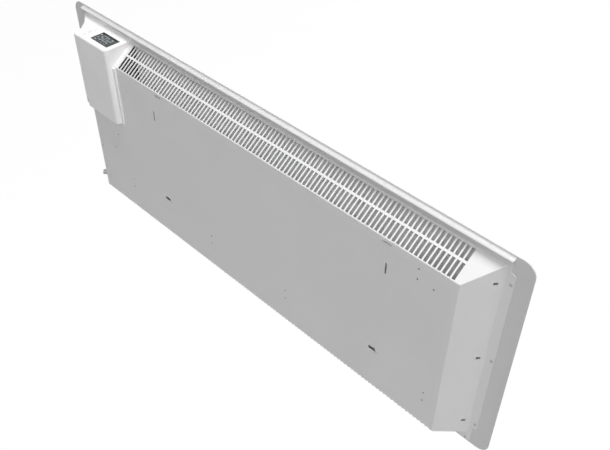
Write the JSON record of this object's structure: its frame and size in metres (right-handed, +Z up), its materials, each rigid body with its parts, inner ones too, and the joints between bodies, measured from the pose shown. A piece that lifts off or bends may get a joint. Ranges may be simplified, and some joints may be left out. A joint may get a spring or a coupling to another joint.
{
  "type": "wall panel convector heater",
  "caption": "Wall-hung flat panel convector heater with a slotted steel rear casing, finned element, corner thermostat housing with display, push buttons and a rocker switch.",
  "frame": {"origin": "midway between the two horizontal hanging slots, on the casing's rear face", "axes": "+Y out of the rear face towards the wall, so the front panel faces -Y; +Z up as it hangs; +X along the long side, towards the thermostat housing"},
  "size_m": [0.9169, 0.0529, 0.3697],
  "materials": {
    "panel_paint": "satin white powder coat",
    "casing_paint": "satin white powder coat",
    "housing_plastic": "fine matt white",
    "cover_plastic": "natural white",
    "window_glass": "dark gloss",
    "display_module": "dark display with pale digits",
    "circuit_board": "green solder mask",
    "zinc": "zinc plated",
    "brass_parts": "plain brass",
    "black_plastic": "fine matt black",
    "blue_plastic": "blue case",
    "coil": "yellow tape",
    "green_plastic": "green",
    "grey_plastic": "grey",
    "element_aluminium": "mill finish",
    "element_steel": "drawn tube",
    "seal_rubber": "silicone rubber",
    "brown_wire": "brown insulation",
    "grey_wire": "grey heat resistant sleeving"
  },
  "bodies": {
    "heater": {"front_panel": "panel_paint", "rear_casing": "casing_paint", "panel_studs": "zinc", "thermostat_housing": "housing_plastic", "housing_cover": "cover_plastic", "cover_screws": "zinc", "display_window": "window_glass", "display_panel": "display_module", "display_board": "circuit_board", "display_screws": "zinc", "tact_switches": "black_plastic", "switch_body": "black_plastic", "switch_blades": "brass_parts", "control_board": "circuit_board", "board_screws": "zinc", "relay": "blue_plastic", "transformer": "coil", "capacitor": "blue_plastic", "board_connector": "green_plastic", "ribbon_cable": "grey_plastic", "room_sensor": "black_plastic", "cord_gland": "black_plastic", "gland_nut": "black_plastic", "terminal_block": "cover_plastic", "terminal_inserts": "brass_parts", "terminal_screws": "zinc", "block_screws": "zinc", "earth_studs": "brass_parts", "element_fins": "element_aluminium", "element_rod": "element_steel", "rod_seals": "seal_rubber", "element_pins": "element_steel", "end_bushes": "seal_rubber", "support_1": "zinc", "support_2": "zinc", "support_3": "zinc", "divider_plate": "zinc", "support_rivets": "zinc", "heat_shield": "element_aluminium", "shield_rivets": "zinc", "overheat_limiter": "black_plastic", "limiter_rivets": "zinc", "wire_clip": "cover_plastic", "divider_grommet": "seal_rubber", "supply_wires": "brown_wire", "element_wires": "grey_wire"},
    "minus_button": {"button_minus": "housing_plastic"},
    "ok_button": {"button_ok": "housing_plastic"},
    "plus_button": {"button_plus": "housing_plastic"},
    "rocker": {"switch_rocker": "black_plastic"}
  },
  "joints": [
    {"name": "minus_button_press", "type": "slide", "parent": "heater", "child": "minus_button", "axis": [0, 0, -1], "range_m": [0, 0.0005], "stiffness_N_per_m": 1500},
    {"name": "ok_button_press", "type": "slide", "parent": "heater", "child": "ok_button", "axis": [0, 0, -1], "range_m": [0, 0.0005], "stiffness_N_per_m": 1500},
    {"name": "plus_button_press", "type": "slide", "parent": "heater", "child": "plus_button", "axis": [0, 0, -1], "range_m": [0, 0.0005], "stiffness_N_per_m": 1500},
    {"name": "rocker_tilt", "type": "hinge", "parent": "heater", "child": "rocker", "pos_m": [0.42025, -0.00265, -0.0923], "axis": [0, 0, 1], "range_deg": [0, 16]}
  ]
}
